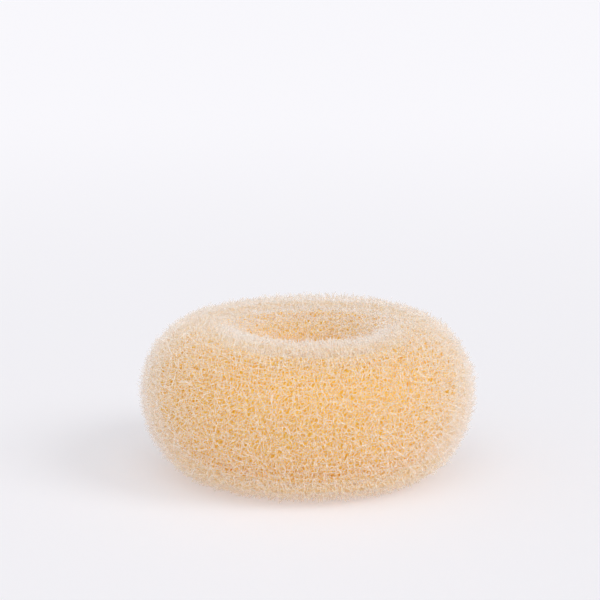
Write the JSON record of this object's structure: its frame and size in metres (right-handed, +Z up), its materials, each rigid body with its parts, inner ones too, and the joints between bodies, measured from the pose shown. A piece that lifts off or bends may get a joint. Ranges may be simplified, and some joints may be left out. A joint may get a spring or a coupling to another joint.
{
  "type": "hair donut bun maker",
  "caption": "Soft ring of rolled knitted net that a ponytail is pulled through and spread over, to fill out a round hair bun.",
  "frame": {"origin": "on the surface that the ring rests on, under the middle of its hole", "axes": "+Z up along the hole's axis, X and Y level, with the picture's view looking along +Y"},
  "size_m": [0.08, 0.0792, 0.0375],
  "materials": {
    "net": "open knit of fine, stiff, slightly glossy synthetic yarn, pale cream outside and golden where many layers lie behind each other"
  },
  "bodies": {
    "root": {"rolled_net": "net"}
  },
  "joints": []
}
